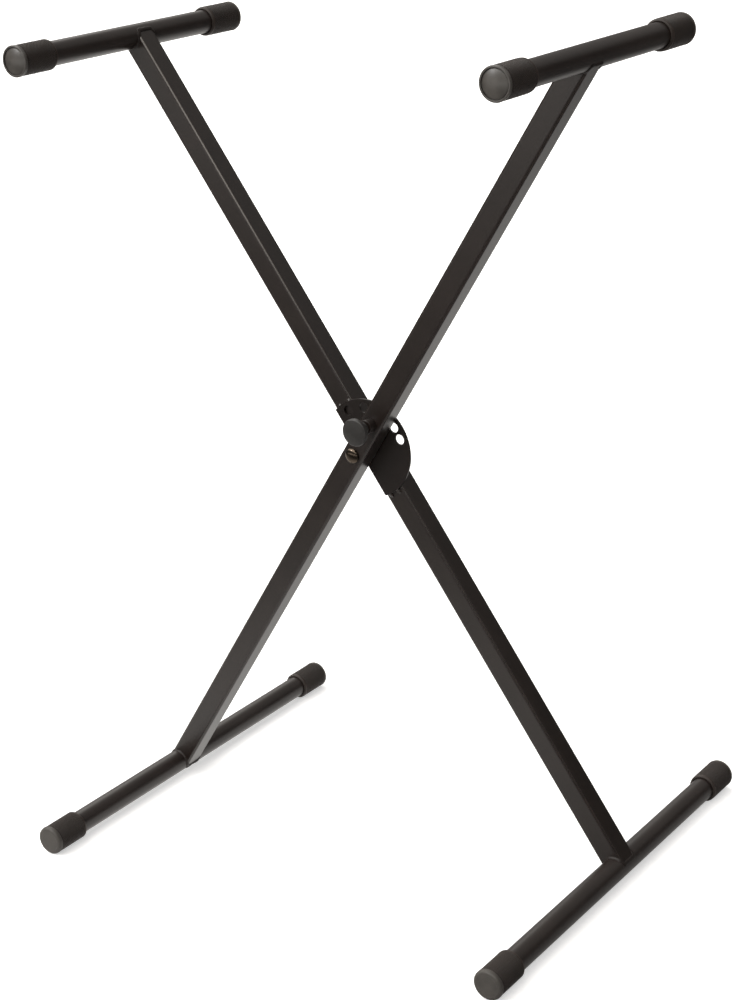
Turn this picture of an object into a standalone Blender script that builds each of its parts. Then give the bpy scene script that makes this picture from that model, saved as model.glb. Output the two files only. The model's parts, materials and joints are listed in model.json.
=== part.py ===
# X-style keyboard stand: two square-tube legs that cross at one pivot bolt.
# Each leg is welded to two round cross bars, and a sprung pin on the front leg
# drops into the holes of a plate on the rear leg to set the height.
#
# Frame: metres, +Z up, the front of the stand towards -Y.
# The origin is on the floor, under the pivot and midway between the legs.

import math

import bmesh
import bpy
from mathutils import Vector

MM = 0.001
AXIS_Y = Vector((0.0, 1.0, 0.0))

# Clearances
SEAT_GAP = 0.3 * MM             # between pieces that rest on each other
RUN_GAP = 0.3 * MM              # round a shaft in its bore

# Posture
OPEN_ANGLE = math.radians(67.8)     # between the two legs as set up
FOLDED_ANGLE = math.radians(4.2)    # between the two legs when folded flat

# Legs
UPPER_REACH = 505.5 * MM        # pivot to the top bar's axis, along the leg
LOWER_REACH = 512.5 * MM        # pivot to the foot bar's axis, along the leg
LEG_WIDTH = 25.4 * MM
LEG_DEPTH = 25.4 * MM
LEG_WALL = 1.5 * MM
LEG_CORNER = 3.0 * MM           # outer corner radius

# Cross bars
BAR_DIAMETER = 25.4 * MM
BAR_WALL = 1.5 * MM
TOP_BAR_SPAN = 349.0 * MM       # over both end caps
FOOT_BAR_SPAN = 503.0 * MM      # over both end caps

# Rubber end caps
CAP_WALL = 3.25 * MM            # round the bar
TOP_CAP_LENGTH = 50.0 * MM
FOOT_CAP_LENGTH = 46.0 * MM
CAP_END_WALL = 4.0 * MM
CAP_LIP_CHAMFER = 1.8 * MM
CAP_EDGE_ROUND = 1.2 * MM
CAP_RIM_WIDTH = 1.8 * MM        # flat ring round the end face
CAP_GROOVE_WIDTH = 1.1 * MM
CAP_GROOVE_DEPTH = 1.1 * MM
CAP_DISC_DROP = 0.7 * MM        # how far the domed disc's edge lies under the rim

# Lock plate
PLATE_THICKNESS = 2.5 * MM
PLATE_RIM = 3.9 * MM            # metal outside the lock holes
PLATE_INSET = 1.1 * MM          # from the leg's outer side to the plate's straight side
PLATE_EDGE_ROUND = 0.4 * MM
LOCK_RADIUS = 44.5 * MM         # pivot to the hole circle, and to the pin
LOCK_HOLE_DIAMETER = 11.2 * MM
LOCK_WEB = 2.723 * MM           # metal between two neighbouring holes
STEPS_EACH_WAY = 2              # settings either side of the one in use

# Pivot
BOLT_DIAMETER = 8.0 * MM
BOLT_HEAD_DIAMETER = 16.4 * MM
BOLT_HEAD_HEIGHT = 3.8 * MM
BOLT_HEAD_LAND = 0.8 * MM       # straight edge of the head, under its dome
BOLT_THREAD_OUT = 1.6 * MM      # past the nut
SLEEVE_WALL = 2.0 * MM
SLIP_WASHER_DIAMETER = 24.0 * MM
SLIP_WASHER_THICKNESS = 1.2 * MM
BACK_WASHER_DIAMETER = 17.0 * MM
BACK_WASHER_THICKNESS = 1.6 * MM
NUT_ACROSS_FLATS = 13.0 * MM
NUT_HEIGHT = 8.0 * MM
NUT_COLLAR_HEIGHT = 2.6 * MM    # round collar that holds the nylon insert
NUT_COLLAR_DIAMETER = 11.6 * MM

# Lock pin, its barrel and its spring
BARREL_WALL = 1.9 * MM
BARREL_STAND = 9.0 * MM         # proud of the leg's front face
BARREL_FRONT_WALL = 3.0 * MM
BARREL_EDGE_ROUND = 0.8 * MM
PIN_NOSE_CHAMFER = 1.0 * MM
PIN_ROD_DIAMETER = 6.0 * MM
PULL_TRAVEL = 4.0 * MM          # from clear of the plate to fully out
SPRING_SPARE = 4.4 * MM         # what is left between the coils at full pull
SPRING_WIRE = 1.2 * MM
SPRING_TURNS = 7
SPRING_POINTS_PER_TURN = 10

# Pull knob
KNOB_DIAMETER = 29.6 * MM
KNOB_NECK_DIAMETER = 13.0 * MM
KNOB_NECK_LENGTH = 6.0 * MM
KNOB_FLARE_LENGTH = 7.5 * MM    # from the neck out to the head's rim
KNOB_RIM_HEIGHT = 3.6 * MM
KNOB_DOME_HEIGHT = 1.6 * MM
KNOB_CROWN_THICKNESS = 6.0 * MM     # solid over the end of the pin's rod

# Facets
BAR_SIDES = 32
CUT_SIDES = 48
BORE_SIDES = 24
SMALL_SIDES = 24
CORNER_STEPS = 3
FLARE_STEPS = 4
DOME_STEPS = 4

# Worked out from the sizes above
LEAN = OPEN_ANGLE / 2.0
LEG_GAP = PLATE_THICKNESS + SLIP_WASHER_THICKNESS + 3.0 * SEAT_GAP
LEG_INNER = LEG_GAP / 2.0
LEG_OUTER = LEG_INNER + LEG_DEPTH
BAR_RADIUS = BAR_DIAMETER / 2.0
CAP_BORE = BAR_RADIUS + SEAT_GAP
CAP_RADIUS = CAP_BORE + CAP_WALL
PIVOT_HEIGHT = LOWER_REACH * math.cos(LEAN) + CAP_RADIUS * math.cos(math.pi / BAR_SIDES)
PLATE_BACK = LEG_INNER - SEAT_GAP
PLATE_FRONT = PLATE_BACK - PLATE_THICKNESS
BOLT_BORE = BOLT_DIAMETER / 2.0 + RUN_GAP
SLEEVE_RADIUS = BOLT_BORE + SLEEVE_WALL
PIN_BORE = LOCK_HOLE_DIAMETER / 2.0
PLATE_RADIUS = LOCK_RADIUS + PIN_BORE + PLATE_RIM
LOCK_STEP = 2.0 * math.asin((PIN_BORE + LOCK_WEB / 2.0) / LOCK_RADIUS)
PIN_RADIUS = PIN_BORE - RUN_GAP
PIN_TIP = PLATE_FRONT - SEAT_GAP
LATCH_TRAVEL = PLATE_THICKNESS
ROD_RADIUS = PIN_ROD_DIAMETER / 2.0
BARREL_RADIUS = PIN_BORE + BARREL_WALL
BARREL_FACE = -(LEG_OUTER + BARREL_STAND)
BARREL_STOP = BARREL_FACE + BARREL_FRONT_WALL
SPRING_LENGTH = (SPRING_TURNS + 1) * SPRING_WIRE + SPRING_SPARE + PULL_TRAVEL
PIN_SHOULDER = BARREL_STOP + SPRING_LENGTH + 2.0 * SEAT_GAP
KNOB_BASE = BARREL_FACE - LATCH_TRAVEL - SEAT_GAP
KNOB_LENGTH = KNOB_NECK_LENGTH + KNOB_FLARE_LENGTH + KNOB_RIM_HEIGHT + KNOB_DOME_HEIGHT
ROD_END = KNOB_BASE - (KNOB_LENGTH - KNOB_CROWN_THICKNESS)


def clear_scene():
    for item in list(bpy.data.objects):
        bpy.data.objects.remove(item, do_unlink=True)


def make_material(name, colour, roughness, metallic):
    material = bpy.data.materials.new(name)
    material.use_nodes = True
    shader = material.node_tree.nodes["Principled BSDF"]
    shader.inputs["Base Color"].default_value = (*colour, 1.0)
    shader.inputs["Roughness"].default_value = roughness
    shader.inputs["Metallic"].default_value = metallic
    material.diffuse_color = (*colour, 1.0)
    return material


def make_empty(name, parent, location, turn):
    empty = bpy.data.objects.new(name, None)
    bpy.context.scene.collection.objects.link(empty)
    empty.parent = parent
    empty.location = location
    empty.rotation_euler = (0.0, turn, 0.0)
    return empty


def make_piece(name, shape, parent, material, location=(0.0, 0.0, 0.0), turn=0.0):
    """Turn a bmesh into a named object under its parent and give it its finish."""
    mesh = bpy.data.meshes.new(name)
    bmesh.ops.recalc_face_normals(shape, faces=shape.faces)
    shape.to_mesh(mesh)
    shape.free()
    mesh.materials.append(material)
    mesh.shade_smooth()
    mesh.set_sharp_from_angle(angle=math.radians(35.0))
    piece = bpy.data.objects.new(name, mesh)
    bpy.context.scene.collection.objects.link(piece)
    piece.parent = parent
    piece.location = location
    piece.rotation_euler = (0.0, turn, 0.0)
    return piece


def turned(profile, sides):
    """Spin a closed (radius, y) profile about the Y axis, with flats facing up and down."""
    shape = bmesh.new()
    lead = math.pi / sides
    rim = []
    for radius, along in profile:
        rim.append(shape.verts.new((radius * math.sin(lead), along, radius * math.cos(lead))))
    edges = []
    for index, vert in enumerate(rim):
        following = rim[(index + 1) % len(rim)]
        on_axis = profile[index][0] == 0.0 and profile[(index + 1) % len(rim)][0] == 0.0
        if not on_axis:
            edges.append(shape.edges.new((vert, following)))
    bmesh.ops.spin(shape, geom=rim + edges, cent=(0.0, 0.0, 0.0), axis=AXIS_Y, dvec=(0.0, 0.0, 0.0),
                   angle=2.0 * math.pi, steps=sides, use_merge=True)
    bmesh.ops.remove_doubles(shape, verts=shape.verts, dist=1e-7)
    return shape


def tube_profile(inner, outer, start, end):
    return [(inner, start), (outer, start), (outer, end), (inner, end)]


def disc_profile(radius, start, end):
    return [(0.0, start), (radius, start), (radius, end), (0.0, end)]


def square_outline(width, depth, corner):
    """Points round a rectangle with rounded corners, in the XY plane."""
    points = []
    for quarter in range(4):
        start = quarter * math.pi / 2.0
        side_x = 1.0 if quarter in (0, 3) else -1.0
        side_y = 1.0 if quarter in (0, 1) else -1.0
        centre_x = side_x * (width / 2.0 - corner)
        centre_y = side_y * (depth / 2.0 - corner)
        for step in range(CORNER_STEPS + 1):
            angle = start + step * math.pi / (2.0 * CORNER_STEPS)
            points.append((centre_x + corner * math.cos(angle), centre_y + corner * math.sin(angle)))
    return points


def square_tube(width, depth, wall, corner, bottom, top):
    """A rounded square tube along Z, open at both ends."""
    shape = bmesh.new()
    inner_corner = max(corner - wall, 0.25 * corner)
    outer = [shape.verts.new((x, y, bottom)) for x, y in square_outline(width, depth, corner)]
    inner_points = square_outline(width - 2.0 * wall, depth - 2.0 * wall, inner_corner)
    inner = [shape.verts.new((x, y, bottom)) for x, y in inner_points]
    faces = []
    for index in range(len(outer)):
        after = (index + 1) % len(outer)
        faces.append(shape.faces.new((outer[index], outer[after], inner[after], inner[index])))
    grown = bmesh.ops.extrude_face_region(shape, geom=faces, use_keep_orig=True)
    moved = [item for item in grown["geom"] if isinstance(item, bmesh.types.BMVert)]
    bmesh.ops.translate(shape, verts=moved, vec=(0.0, 0.0, top - bottom))
    return shape


def make_cutter(name, shape, parent, location=(0.0, 0.0, 0.0)):
    mesh = bpy.data.meshes.new(name)
    bmesh.ops.recalc_face_normals(shape, faces=shape.faces)
    shape.to_mesh(mesh)
    shape.free()
    cutter = bpy.data.objects.new(name, mesh)
    bpy.context.scene.collection.objects.link(cutter)
    cutter.parent = parent
    cutter.location = location
    cutter.hide_render = True
    cutter.display_type = "WIRE"
    return cutter


def cut(piece, cutter):
    boolean = piece.modifiers.new(cutter.name, "BOOLEAN")
    boolean.operation = "DIFFERENCE"
    boolean.solver = "EXACT"
    boolean.object = cutter


def round_edges(piece, width, segments=2):
    bevel = piece.modifiers.new("edge_round", "BEVEL")
    bevel.width = width
    bevel.segments = segments
    bevel.limit_method = "ANGLE"
    bevel.angle_limit = math.radians(50.0)


def make_leg_tube(name, frame, centre_y, material):
    """The leg's square tube, coped at both ends and bored for the pivot sleeve."""
    shape = square_tube(LEG_WIDTH, LEG_DEPTH, LEG_WALL, LEG_CORNER, -LOWER_REACH, UPPER_REACH)
    leg = make_piece(name, shape, frame, material, location=(0.0, centre_y, 0.0))
    for end, reach in (("top", UPPER_REACH), ("foot", -LOWER_REACH)):
        saddle = turned(disc_profile(BAR_RADIUS + SEAT_GAP, -2.0 * LEG_OUTER, 2.0 * LEG_OUTER), CUT_SIDES)
        cut(leg, make_cutter(f"{name}_{end}_cope", saddle, frame, location=(0.0, 0.0, reach)))
    bore = turned(disc_profile(SLEEVE_RADIUS + SEAT_GAP, -LEG_DEPTH, LEG_DEPTH), BORE_SIDES)
    cut(leg, make_cutter(f"{name}_sleeve_hole", bore, frame, location=(0.0, centre_y, 0.0)))
    return leg


def make_bar(name, frame, reach, span, turn, material):
    """A round cross bar. Its ends stop just short of the end caps' end walls."""
    half = span / 2.0 - CAP_END_WALL - SEAT_GAP
    shape = turned(tube_profile(BAR_RADIUS - BAR_WALL, BAR_RADIUS, -half, half), BAR_SIDES)
    return make_piece(name, shape, frame, material, location=(0.0, 0.0, reach), turn=turn)


def cap_profile(face):
    """Half section of an end cap: open lip at y = 0, end face at y = face."""
    edge = CAP_EDGE_ROUND
    ring_inside = CAP_RADIUS - edge - CAP_RIM_WIDTH
    disc_edge = ring_inside - CAP_GROOVE_WIDTH
    corner = CAP_RADIUS - edge * (1.0 - math.sqrt(0.5))
    return [
        (0.0, face - CAP_END_WALL),
        (CAP_BORE, face - CAP_END_WALL),
        (CAP_BORE, 0.0),
        (CAP_RADIUS - CAP_LIP_CHAMFER, 0.0),
        (CAP_RADIUS, CAP_LIP_CHAMFER),
        (CAP_RADIUS, face - edge),
        (corner, face - edge * (1.0 - math.sqrt(0.5))),
        (CAP_RADIUS - edge, face),
        (ring_inside, face),
        (ring_inside - 0.2 * CAP_GROOVE_WIDTH, face - CAP_GROOVE_DEPTH),
        (disc_edge + 0.2 * CAP_GROOVE_WIDTH, face - CAP_GROOVE_DEPTH),
        (disc_edge, face - CAP_DISC_DROP),
        (disc_edge * 0.55, face - 0.3 * CAP_DISC_DROP),
        (0.0, face),
    ]


def make_cap(name, frame, reach, span, length, side, turn, material):
    """An end cap on the near (side = -1) or far (side = +1) end of a bar."""
    lip = span / 2.0 - length
    profile = [(radius, side * (lip + along)) for radius, along in cap_profile(length)]
    shape = turned(profile, BAR_SIDES)
    return make_piece(name, shape, frame, material, location=(0.0, 0.0, reach), turn=turn)


def make_leg_assembly(prefix, frame, centre_y, lean, steel, rubber):
    """One leg with its two bars and four caps. The bars' flats stay level."""
    leg = make_leg_tube(f"{prefix}_leg_tube", frame, centre_y, steel)
    ends = (
        ("top", UPPER_REACH, TOP_BAR_SPAN, TOP_CAP_LENGTH),
        ("foot", -LOWER_REACH, FOOT_BAR_SPAN, FOOT_CAP_LENGTH),
    )
    for place, reach, span, cap_length in ends:
        make_bar(f"{prefix}_{place}_bar", frame, reach, span, -lean, steel)
        for end, side in (("near", -1.0), ("far", 1.0)):
            name = f"{prefix}_{place}_cap_{end}"
            make_cap(name, frame, reach, span, cap_length, side, -lean, rubber)
    return leg


def plate_outline():
    """The plate's D: most of a circle, closed by a straight side along the leg's edge."""
    straight = LEG_WIDTH / 2.0 - PLATE_INSET
    cut_angle = math.acos(straight / PLATE_RADIUS)
    sweep = 2.0 * (math.pi - cut_angle)
    points = []
    for step in range(CUT_SIDES + 1):
        angle = -sweep / 2.0 + sweep * step / CUT_SIDES
        points.append((PLATE_RADIUS * math.cos(angle), PLATE_RADIUS * math.sin(angle)))
    return points


def lock_hole_angles():
    """Angles from the rear leg at which the pin finds a hole: each setting, then folded."""
    angles = [OPEN_ANGLE + step * LOCK_STEP for step in range(-STEPS_EACH_WAY, STEPS_EACH_WAY + 1)]
    return angles + [FOLDED_ANGLE]


def make_lock_plate(frame, material):
    shape = bmesh.new()
    outline = [shape.verts.new((x, PLATE_BACK, z)) for x, z in plate_outline()]
    face = shape.faces.new(outline)
    grown = bmesh.ops.extrude_face_region(shape, geom=[face], use_keep_orig=True)
    moved = [item for item in grown["geom"] if isinstance(item, bmesh.types.BMVert)]
    bmesh.ops.translate(shape, verts=moved, vec=(0.0, -PLATE_THICKNESS, 0.0))
    plate = make_piece("lock_plate", shape, frame, material)
    round_edges(plate, PLATE_EDGE_ROUND)
    past = PLATE_THICKNESS
    pivot_hole = turned(disc_profile(BOLT_BORE, PLATE_FRONT - past, PLATE_BACK + past), BORE_SIDES)
    cut(plate, make_cutter("plate_pivot_hole", pivot_hole, frame))
    for number, angle in enumerate(lock_hole_angles()):
        hole = turned(disc_profile(PIN_BORE, PLATE_FRONT - past, PLATE_BACK + past), BORE_SIDES)
        place = (LOCK_RADIUS * math.sin(angle), 0.0, LOCK_RADIUS * math.cos(angle))
        cut(plate, make_cutter(f"plate_lock_hole_{number}", hole, frame, location=place))
    return plate


def make_sleeve(name, frame, centre_y, material):
    half = LEG_DEPTH / 2.0
    shape = turned(tube_profile(BOLT_BORE, SLEEVE_RADIUS, -half, half), SMALL_SIDES)
    return make_piece(name, shape, frame, material, location=(0.0, centre_y, 0.0))


def make_ring(name, frame, outer, start, thickness, material):
    shape = turned(tube_profile(BOLT_BORE, outer, start, start + thickness), SMALL_SIDES)
    return make_piece(name, shape, frame, material)


def make_pivot_bolt(frame, nut_end, material):
    """Dome head in front of the front leg, shank through both legs and the nut."""
    seat = -(LEG_OUTER + SEAT_GAP)
    shank = BOLT_DIAMETER / 2.0
    head = BOLT_HEAD_DIAMETER / 2.0
    rise = BOLT_HEAD_HEIGHT - BOLT_HEAD_LAND
    thread_end = nut_end + BOLT_THREAD_OUT
    profile = [(0.0, thread_end), (shank, thread_end), (shank, seat), (head, seat)]
    for step in range(DOME_STEPS):
        angle = step * math.pi / (2.0 * DOME_STEPS)
        profile.append((head * math.cos(angle), seat - BOLT_HEAD_LAND - rise * math.sin(angle)))
    profile.append((0.0, seat - BOLT_HEAD_HEIGHT))
    return make_piece("pivot_bolt", turned(profile, SMALL_SIDES), frame, material)


def make_lock_nut(frame, start, material):
    """Hexagon nut with the round collar of its nylon insert at the outer end."""
    hex_radius = NUT_ACROSS_FLATS / (2.0 * math.cos(math.pi / 6.0))
    hex_height = NUT_HEIGHT - NUT_COLLAR_HEIGHT
    shape = turned(disc_profile(hex_radius, start, start + hex_height), 6)
    nut = make_piece("pivot_lock_nut", shape, frame, material)
    collar_radius = NUT_COLLAR_DIAMETER / 2.0
    collar = turned(disc_profile(collar_radius, start + hex_height / 2.0, start + NUT_HEIGHT), SMALL_SIDES)
    join = nut.modifiers.new("collar", "BOOLEAN")
    join.operation = "UNION"
    join.solver = "EXACT"
    join.object = make_cutter("nut_collar", collar, frame)
    bore = turned(disc_profile(BOLT_BORE, start - NUT_HEIGHT, start + 2.0 * NUT_HEIGHT), BORE_SIDES)
    cut(nut, make_cutter("nut_bore", bore, frame))
    return nut


def make_pivot(rear, steel, bright, nylon):
    """What the two legs turn on, from the slip washer back to the lock nut."""
    slip_start = -LEG_INNER + SEAT_GAP
    slip_radius = SLIP_WASHER_DIAMETER / 2.0
    make_ring("pivot_slip_washer", rear, slip_radius, slip_start, SLIP_WASHER_THICKNESS, nylon)
    washer_start = LEG_OUTER + SEAT_GAP
    washer_radius = BACK_WASHER_DIAMETER / 2.0
    make_ring("pivot_back_washer", rear, washer_radius, washer_start, BACK_WASHER_THICKNESS, bright)
    nut_start = washer_start + BACK_WASHER_THICKNESS + SEAT_GAP
    make_lock_nut(rear, nut_start, bright)
    make_pivot_bolt(rear, nut_start + NUT_HEIGHT, bright)


def make_lock_barrel(frame, leg, material):
    """Barrel through the front leg: pin bore behind, a front wall with the rod's bore."""
    rod_bore = ROD_RADIUS + RUN_GAP
    edge = BARREL_EDGE_ROUND
    profile = [
        (PIN_BORE, -LEG_INNER),
        (BARREL_RADIUS, -LEG_INNER),
        (BARREL_RADIUS, BARREL_FACE + edge),
        (BARREL_RADIUS - edge, BARREL_FACE),
        (rod_bore, BARREL_FACE),
        (rod_bore, BARREL_STOP),
        (PIN_BORE, BARREL_STOP),
    ]
    barrel = make_piece("lock_barrel", turned(profile, SMALL_SIDES), frame, material)
    hole = turned(disc_profile(BARREL_RADIUS + SEAT_GAP, -LEG_OUTER - LEG_DEPTH, LEG_DEPTH), BORE_SIDES)
    cut(leg, make_cutter("front_leg_barrel_hole", hole, frame))
    return barrel


def make_lock_pin(frame, material):
    profile = [
        (0.0, PIN_TIP),
        (PIN_RADIUS - PIN_NOSE_CHAMFER, PIN_TIP),
        (PIN_RADIUS, PIN_TIP - PIN_NOSE_CHAMFER),
        (PIN_RADIUS, PIN_SHOULDER),
        (ROD_RADIUS, PIN_SHOULDER),
        (ROD_RADIUS, ROD_END + SEAT_GAP),
        (0.0, ROD_END + SEAT_GAP),
    ]
    return make_piece("lock_pin", turned(profile, SMALL_SIDES), frame, material)


def make_pull_knob(frame, material):
    """Mushroom knob: neck, hollow flare, rounded rim and a low dome."""
    neck = KNOB_NECK_DIAMETER / 2.0
    head = KNOB_DIAMETER / 2.0
    bore = ROD_RADIUS + SEAT_GAP
    profile = [(0.0, ROD_END), (bore, ROD_END), (bore, KNOB_BASE), (neck, KNOB_BASE)]
    flare_start = KNOB_BASE - KNOB_NECK_LENGTH
    for step in range(FLARE_STEPS + 1):
        angle = step * math.pi / (2.0 * FLARE_STEPS)
        radius = head - (head - neck) * math.cos(angle)
        profile.append((radius, flare_start - KNOB_FLARE_LENGTH * math.sin(angle)))
    rim_end = flare_start - KNOB_FLARE_LENGTH - KNOB_RIM_HEIGHT
    for step in range(DOME_STEPS):
        angle = step * math.pi / (2.0 * DOME_STEPS)
        profile.append((head * math.cos(angle) ** 0.6, rim_end - KNOB_DOME_HEIGHT * math.sin(angle)))
    profile.append((0.0, rim_end - KNOB_DOME_HEIGHT))
    return make_piece("pull_knob", turned(profile, BAR_SIDES), frame, material)


def make_lock_spring(frame, material):
    """Coil spring between the pin's shoulder and the barrel's front wall."""
    wire = SPRING_WIRE / 2.0
    coil = (ROD_RADIUS + PIN_BORE) / 2.0
    start = PIN_SHOULDER - SEAT_GAP - wire
    end = BARREL_STOP + SEAT_GAP + wire
    count = SPRING_TURNS * SPRING_POINTS_PER_TURN
    points = []
    for step in range(count + 1):
        angle = 2.0 * math.pi * step / SPRING_POINTS_PER_TURN
        along = start + (end - start) * step / count
        points.append(Vector((coil * math.cos(angle), along, coil * math.sin(angle))))
    least = min(
        (points[first] - points[second]).length
        for first in range(count)
        for second in range(first + SPRING_POINTS_PER_TURN // 2, count + 1)
    )
    print(f"lock_spring: least gap between turns {(least - SPRING_WIRE) / MM:.2f} mm")
    curve = bpy.data.curves.new("lock_spring", "CURVE")
    curve.dimensions = "3D"
    curve.bevel_depth = wire
    curve.bevel_resolution = 1
    curve.use_fill_caps = True
    curve.materials.append(material)
    spline = curve.splines.new("POLY")
    spline.points.add(count)
    for point, place in zip(spline.points, points):
        point.co = (*place, 1.0)
    spring = bpy.data.objects.new("lock_spring", curve)
    bpy.context.scene.collection.objects.link(spring)
    spring.parent = frame
    return spring


def build():
    clear_scene()
    paint = make_material("black_powder_coat", (0.022, 0.020, 0.019), 0.42, 0.0)
    rubber = make_material("black_rubber", (0.030, 0.029, 0.028), 0.62, 0.0)
    bright = make_material("dark_nickel", (0.36, 0.32, 0.28), 0.22, 1.0)
    steel = make_material("plain_steel", (0.46, 0.46, 0.47), 0.35, 1.0)
    nylon = make_material("black_nylon", (0.03, 0.03, 0.03), 0.45, 0.0)
    plastic = make_material("black_knob_plastic", (0.028, 0.027, 0.026), 0.38, 0.0)

    pivot = (0.0, 0.0, PIVOT_HEIGHT)
    rear = make_empty("rear_leg_frame", None, pivot, -LEAN)
    front = make_empty("front_leg_frame", None, pivot, LEAN)
    lock = make_empty("lock_frame", front, (0.0, 0.0, LOCK_RADIUS), 0.0)
    middle = LEG_INNER + LEG_DEPTH / 2.0

    make_leg_assembly("rear", rear, middle, -LEAN, paint, rubber)
    front_leg = make_leg_assembly("front", front, -middle, LEAN, paint, rubber)
    make_lock_plate(rear, paint)
    make_sleeve("rear_pivot_sleeve", rear, middle, steel)
    make_sleeve("front_pivot_sleeve", front, -middle, steel)
    make_pivot(rear, steel, bright, nylon)
    make_lock_barrel(lock, front_leg, paint)
    make_lock_pin(lock, steel)
    make_lock_spring(lock, steel)
    make_pull_knob(lock, plastic)


build()
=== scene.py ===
import json
from math import atan2, cos, hypot, pi, radians, sin, sqrt

import bmesh
import bpy
from mathutils import Matrix, Vector, noise


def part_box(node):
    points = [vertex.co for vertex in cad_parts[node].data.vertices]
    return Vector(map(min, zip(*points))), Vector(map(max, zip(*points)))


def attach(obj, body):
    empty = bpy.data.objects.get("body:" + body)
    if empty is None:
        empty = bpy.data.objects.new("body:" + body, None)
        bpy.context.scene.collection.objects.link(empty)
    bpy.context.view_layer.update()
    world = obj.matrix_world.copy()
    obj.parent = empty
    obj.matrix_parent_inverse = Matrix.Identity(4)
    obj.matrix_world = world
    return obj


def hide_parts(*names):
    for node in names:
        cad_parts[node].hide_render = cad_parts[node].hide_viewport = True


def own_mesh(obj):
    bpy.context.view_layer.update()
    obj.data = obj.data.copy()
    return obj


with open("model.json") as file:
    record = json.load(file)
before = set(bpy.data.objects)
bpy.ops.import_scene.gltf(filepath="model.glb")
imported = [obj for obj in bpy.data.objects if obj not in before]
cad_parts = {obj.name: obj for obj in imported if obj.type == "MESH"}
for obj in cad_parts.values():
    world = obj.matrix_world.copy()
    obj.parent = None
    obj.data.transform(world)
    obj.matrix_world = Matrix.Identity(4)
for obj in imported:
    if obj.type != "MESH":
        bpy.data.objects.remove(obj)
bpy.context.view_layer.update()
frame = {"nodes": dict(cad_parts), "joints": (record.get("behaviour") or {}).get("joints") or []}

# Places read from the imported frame, in metres. Leg space has its origin at the pivot, x across the leg
# and z up along it.
mm = 0.001
seatGap = 0.3 * mm                                # between pieces that rest on each other
boreGap = 0.3 * mm                                # round a rod in its bore
joints = {joint["name"]: joint for joint in frame["joints"]}
pivot = Vector(joints["leg_fold"]["pos_m"])


def armTo(node):                                  # lean and length of the arm from the pivot to a node
    low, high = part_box(node)
    arm = (low + high) / 2 - pivot
    return atan2(arm.x, arm.z), hypot(arm.x, arm.z)


legs = {}
for legName in ("front", "rear"):
    lean, topReach = armTo(f"{legName}_top_bar")
    footReach = armTo(f"{legName}_foot_bar")[1]
    legs[legName] = {
        "body": f"{legName}_leg",
        "lean": lean,
        "reach": {"top": topReach, "foot": footReach},
        "place": Matrix.Translation(pivot) @ Matrix.Rotation(lean, 4, "Y"),
        "faces": [corner.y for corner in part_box(f"{legName}_leg_tube")],
    }
lockReach = armTo("pull_knob")[1]
pivotPlace = legs["rear"]["place"]
lockPlace = legs["front"]["place"] @ Matrix.Translation((0, 0, lockReach))
print("frame read")


# Node trees

class Wire:                                       # one output socket, with arithmetic
    def __init__(self, recipe, socket):
        self.recipe = recipe
        self.socket = socket

    def of(self, name):
        return Wire(self.recipe, self.socket.node.outputs[name])

    def __add__(self, other):
        return self.recipe.maths("ADD", self, other)

    def __sub__(self, other):
        return self.recipe.maths("SUBTRACT", self, other)

    def __mul__(self, other):
        return self.recipe.maths("MULTIPLY", self, other)

    __radd__ = __add__


class Recipe:                                     # the node tree of one finish
    def __init__(self, owner):
        owner.use_nodes = True
        self.tree = owner.node_tree
        self.tree.nodes.clear()

    def node(self, kind, settings, sockets, out=0):
        item = self.tree.nodes.new(kind)
        for key, value in settings.items():
            setattr(item, key, value)
        for key, value in sockets.items():
            if isinstance(value, Wire):
                self.tree.links.new(value.socket, item.inputs[key])
            else:
                item.inputs[key].default_value = value
        return Wire(self, item.outputs[out]) if item.outputs else None

    def maths(self, operation, first, second):
        return self.node("ShaderNodeMath", {"operation": operation}, {0: first, 1: second})

    def step(self, value, start, end, low=0.0, high=1.0):         # soft step of value from start to end
        sockets = {0: value, 1: start, 2: end, 3: low, 4: high}
        return self.node("ShaderNodeMapRange", {"interpolation_type": "SMOOTHSTEP"}, sockets)

    def blend(self, share, first, second):                        # colour between two colours
        return self.node("ShaderNodeMix", {"data_type": "RGBA"}, {0: share, 6: first, 7: second}, 2)

    def coords(self, turn=0.0, centre=(0, 0, 0)):     # object coordinates, centred and turned about Y
        back = Matrix.Rotation(-turn, 4, "Y")
        where = self.node("ShaderNodeTexCoord", {}, {}).of("Object")
        sockets = {"Vector": where, "Location": -(back @ Vector(centre)), "Rotation": (0, -turn, 0)}
        return self.node("ShaderNodeMapping", {"vector_type": "POINT"}, sockets)

    def grain(self, where, size, detail=2.0, roughness=0.5):      # noise, its cells about size mm wide
        sockets = {"Vector": where, "Scale": 1 / (size * mm), "Detail": detail, "Roughness": roughness}
        return self.node("ShaderNodeTexNoise", {}, sockets)

    def reach(self, where):                                       # distance from where to the middle
        return self.node("ShaderNodeVectorMath", {"operation": "LENGTH"}, {0: where}, "Value")

    def parts(self, where):
        split = self.node("ShaderNodeSeparateXYZ", {}, {0: where})
        return split.of("X"), split.of("Y"), split.of("Z")

    def bump(self, height, depth):                                # depth in millimetres
        sockets = {"Height": height, "Distance": depth * mm, "Strength": 1.0}
        return self.node("ShaderNodeBump", {}, sockets)

    def glow(self, level, tint=(1, 1, 1)):                        # light of a varying brightness
        colour = self.node("ShaderNodeVectorMath", {"operation": "SCALE"}, {0: tint, "Scale": level})
        return self.node("ShaderNodeEmission", {}, {"Color": colour, "Strength": 1.0})

    def surface(self, **sockets):
        named = {key.replace("_", " "): value for key, value in sockets.items()}
        shader = self.node("ShaderNodeBsdfPrincipled", {}, named)
        self.node("ShaderNodeOutputMaterial", {}, {"Surface": shader})


def grey(level):
    return (level, level, level, 1.0)


def shade(colour, level):                         # a colour made lighter or darker
    return (*[part * level for part in colour], 1.0)


# Finishes. Cell sizes and bump depths are in millimetres.

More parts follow.
